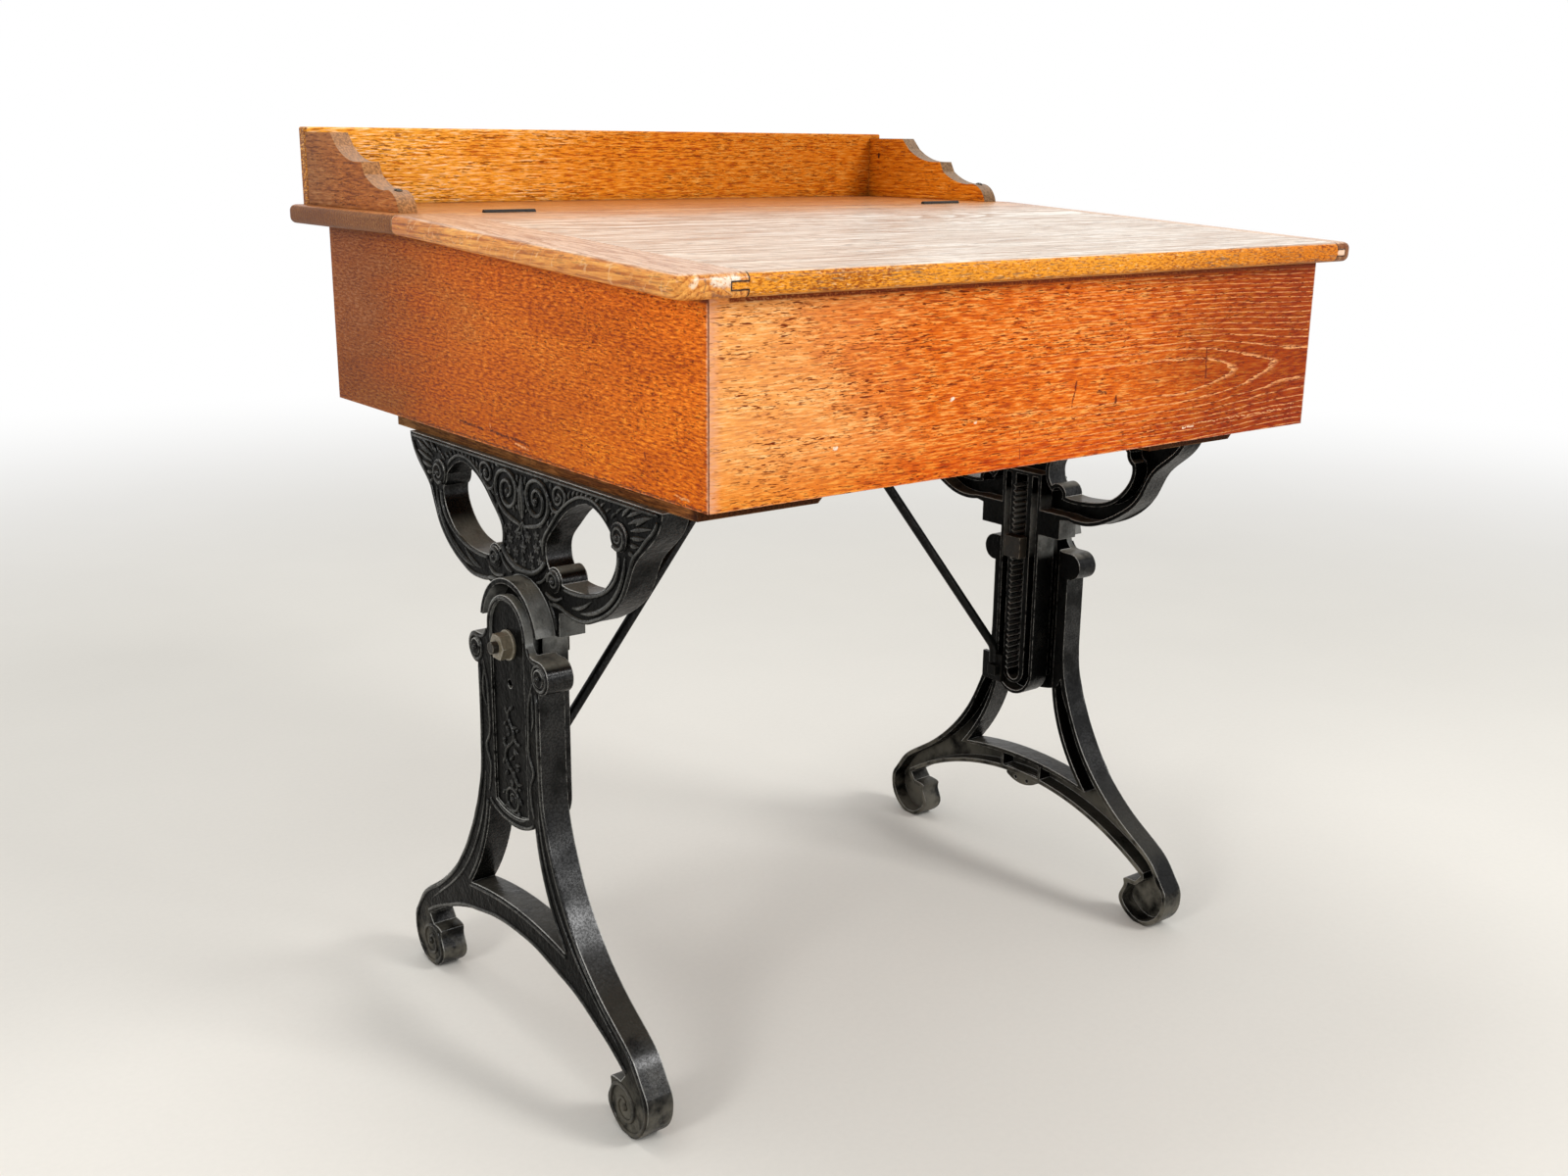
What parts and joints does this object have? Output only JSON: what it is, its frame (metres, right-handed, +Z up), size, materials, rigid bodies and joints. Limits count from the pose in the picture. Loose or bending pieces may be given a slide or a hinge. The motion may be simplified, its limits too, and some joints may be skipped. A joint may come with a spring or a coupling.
{
  "type": "school desk",
  "caption": "Oak school desk with a sloping lift-up lid, a low back gallery and ornamental cast iron legs that adjust in height.",
  "frame": {"origin": "on the floor under the middle of the desk's overall outline", "axes": "+X to the sitter's right, the front faces -Y, +Z up"},
  "size_m": [0.77, 0.6957, 0.845],
  "materials": {
    "box_oak": "old varnish, worn",
    "lid_oak": "old varnish, worn",
    "gallery_oak": "old varnish, worn",
    "plain_oak": "bare, dark with age",
    "cast_iron": "old black paint",
    "brace_iron": "old black paint",
    "rusty_steel": "rusty",
    "hinge_steel": "dark, tarnished"
  },
  "bodies": {
    "desk_top": {"front_board": "box_oak", "side_board_left": "box_oak", "side_board_right": "box_oak", "back_board": "box_oak", "bottom_board": "plain_oak", "top_rail": "gallery_oak", "gallery_back": "gallery_oak", "gallery_bracket_left": "gallery_oak", "batten_left": "plain_oak", "hinge_leaf_rail_left": "hinge_steel", "hinge_pin_left": "hinge_steel", "upper_bracket_left": "cast_iron", "brace_left": "brace_iron", "brace_bolt_left": "cast_iron", "gallery_bracket_right": "gallery_oak", "batten_right": "plain_oak", "hinge_leaf_rail_right": "hinge_steel", "hinge_pin_right": "hinge_steel", "upper_bracket_right": "cast_iron", "brace_right": "brace_iron", "brace_bolt_right": "cast_iron"},
    "lid": {"lid_panel": "lid_oak", "lid_clamp_left": "lid_oak", "lid_clamp_right": "lid_oak", "hinge_leaf_lid_left": "hinge_steel", "hinge_leaf_lid_right": "hinge_steel"},
    "leg_left": {"lower_leg_left": "cast_iron", "clamp_bolt_left": "rusty_steel", "clamp_washer_left": "rusty_steel", "clamp_nut_left": "rusty_steel"},
    "leg_right": {"lower_leg_right": "cast_iron", "clamp_bolt_right": "rusty_steel", "clamp_washer_right": "rusty_steel", "clamp_nut_right": "rusty_steel"}
  },
  "joints": [
    {"name": "lid_hinge", "type": "hinge", "parent": "desk_top", "child": "lid", "pos_m": [0, 0.10325, 0.771], "axis": [-1, 0, 0], "range_deg": [0, 110]},
    {"name": "left_leg_slide", "type": "slide", "parent": "desk_top", "child": "leg_left", "axis": [0, 0, 1], "range_m": [-0.15, 0.006]},
    {"name": "right_leg_slide", "type": "slide", "parent": "desk_top", "child": "leg_right", "axis": [0, 0, 1], "range_m": [-0.15, 0.006]}
  ],
  "couplings": [
    {"joint": "right_leg_slide", "follows": "left_leg_slide", "ratio": 1}
  ]
}
